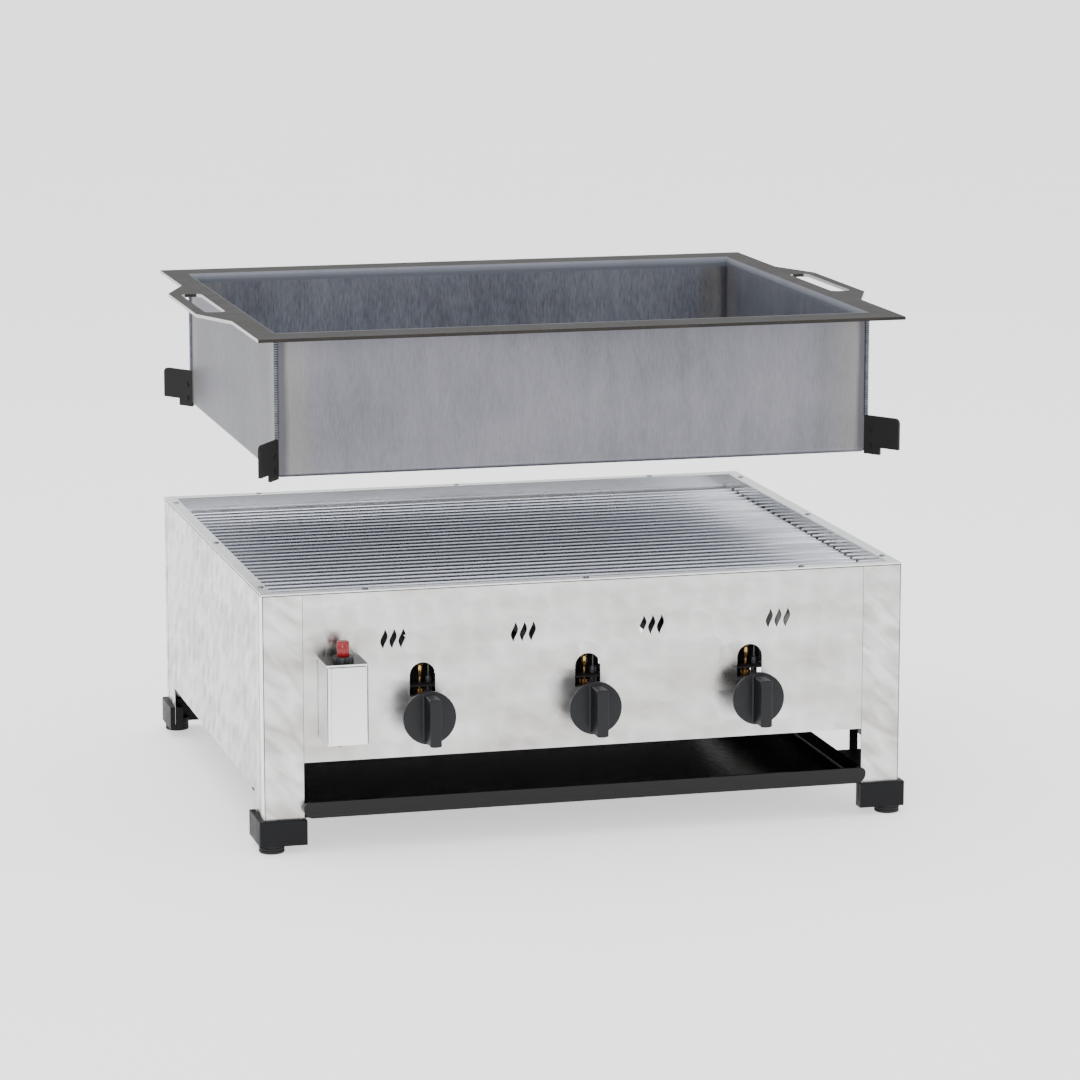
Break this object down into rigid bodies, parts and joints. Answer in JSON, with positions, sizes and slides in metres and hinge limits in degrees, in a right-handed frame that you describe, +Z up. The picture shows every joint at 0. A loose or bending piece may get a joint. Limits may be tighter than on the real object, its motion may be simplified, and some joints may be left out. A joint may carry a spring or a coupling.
{
  "type": "gas table griddle",
  "caption": "Deep steel griddle pan with carrying tabs, held above the gas table stove that it drops onto; knobs, push igniter and a slide-out drip tray.",
  "frame": {"origin": "middle of the overall footprint, on the plane that the feet stand on", "axes": "+Z up, knobs and igniter towards -Y, +X to the right as seen from the front"},
  "size_m": [0.667, 0.64, 0.481],
  "materials": {
    "swirled_stainless": "swirl-ground, marbled",
    "bright_stainless": "bright rolled",
    "rivet_steel": "plain",
    "grate_steel": "bright drawn rod",
    "inner_steel": "plain rolled",
    "black_plastic": "fine grain",
    "black_rubber": "matt",
    "black_enamel": "gloss enamel",
    "black_steel": "matt black",
    "pipe_steel": "zinc plated",
    "brass_fitting": "turned",
    "valve_metal": "die cast",
    "burner_steel": "heat tinted",
    "sensor_copper": "turned copper",
    "ceramic": "glazed white",
    "knob_black": "satin",
    "battery_sleeve": "printed sleeve, plain",
    "button_red": "satin",
    "dark_screw": "blackened",
    "raw_steel": "mill finish, drawn streaks",
    "rim_steel": "dark oiled scale"
  },
  "bodies": {
    "stove": {"front_panel": "swirled_stainless", "back_panel": "swirled_stainless", "left_side_panel": "swirled_stainless", "right_side_panel": "swirled_stainless", "igniter_box": "swirled_stainless", "top_frame": "bright_stainless", "frame_rivets": "rivet_steel", "grate": "grate_steel", "burner_rail_front": "inner_steel", "burner_rail_rear": "inner_steel", "foot_cap_front_left": "black_plastic", "foot_cap_front_right": "black_plastic", "foot_cap_rear_left": "black_plastic", "foot_cap_rear_right": "black_plastic", "foot_front_left": "black_rubber", "foot_front_right": "black_rubber", "foot_rear_left": "black_rubber", "foot_rear_right": "black_rubber", "tray_runner_left": "black_steel", "tray_runner_right": "black_steel", "gas_manifold": "pipe_steel", "manifold_clamps": "pipe_steel", "gas_inlet": "brass_fitting", "injectors": "brass_fitting", "gas_valve_left": "valve_metal", "burner_left": "burner_steel", "flame_sensor_left": "sensor_copper", "spark_electrode_left": "ceramic", "gas_valve_middle": "valve_metal", "burner_middle": "burner_steel", "flame_sensor_middle": "sensor_copper", "spark_electrode_middle": "ceramic", "gas_valve_right": "valve_metal", "burner_right": "burner_steel", "flame_sensor_right": "sensor_copper", "spark_electrode_right": "ceramic", "igniter_barrel": "black_plastic", "igniter_nut": "black_plastic", "igniter_battery": "battery_sleeve", "igniter_screw": "dark_screw"},
    "pan": {"pan_tub": "raw_steel", "pan_rim": "rim_steel", "corner_welds": "raw_steel", "corner_plate_pins": "dark_screw", "corner_plate_front_left": "black_steel", "corner_plate_front_right": "black_steel", "corner_plate_rear_left": "black_steel", "corner_plate_rear_right": "black_steel"},
    "drip_tray": {"drip_tray": "black_enamel"},
    "igniter_button": {"igniter_button": "button_red"},
    "valve_plunger_left": {"valve_plunger_left": "pipe_steel"},
    "knob_left": {"knob_left": "knob_black", "spindle_left": "pipe_steel"},
    "valve_plunger_middle": {"valve_plunger_middle": "pipe_steel"},
    "knob_middle": {"knob_middle": "knob_black", "spindle_middle": "pipe_steel"},
    "valve_plunger_right": {"valve_plunger_right": "pipe_steel"},
    "knob_right": {"knob_right": "knob_black", "spindle_right": "pipe_steel"}
  },
  "joints": [
    {"name": "pan_lift", "type": "slide", "parent": "stove", "child": "pan", "axis": [0, 0, 1], "range_m": [-0.1067, 0]},
    {"name": "tray_slide", "type": "slide", "parent": "stove", "child": "drip_tray", "axis": [0, -1, 0], "range_m": [0, 0.4]},
    {"name": "igniter_press", "type": "slide", "parent": "stove", "child": "igniter_button", "axis": [0, 0, -1], "range_m": [0, 0.003], "stiffness_N_per_m": 900, "springref_m": -0.0006},
    {"name": "knob_push_left", "type": "slide", "parent": "stove", "child": "valve_plunger_left", "axis": [0, 1, 0], "range_m": [0, 0.003], "stiffness_N_per_m": 1500, "springref_m": -0.0006},
    {"name": "knob_turn_left", "type": "hinge", "parent": "valve_plunger_left", "child": "knob_left", "pos_m": [-0.159, -0.265, 0.1275], "axis": [0, -1, 0], "range_deg": [0, 180]},
    {"name": "knob_push_middle", "type": "slide", "parent": "stove", "child": "valve_plunger_middle", "axis": [0, 1, 0], "range_m": [0, 0.003], "stiffness_N_per_m": 1500, "springref_m": -0.0006},
    {"name": "knob_turn_middle", "type": "hinge", "parent": "valve_plunger_middle", "child": "knob_middle", "pos_m": [0, -0.265, 0.1275], "axis": [0, -1, 0], "range_deg": [0, 180]},
    {"name": "knob_push_right", "type": "slide", "parent": "stove", "child": "valve_plunger_right", "axis": [0, 1, 0], "range_m": [0, 0.003], "stiffness_N_per_m": 1500, "springref_m": -0.0006},
    {"name": "knob_turn_right", "type": "hinge", "parent": "valve_plunger_right", "child": "knob_right", "pos_m": [0.159, -0.265, 0.1275], "axis": [0, -1, 0], "range_deg": [0, 180]}
  ]
}
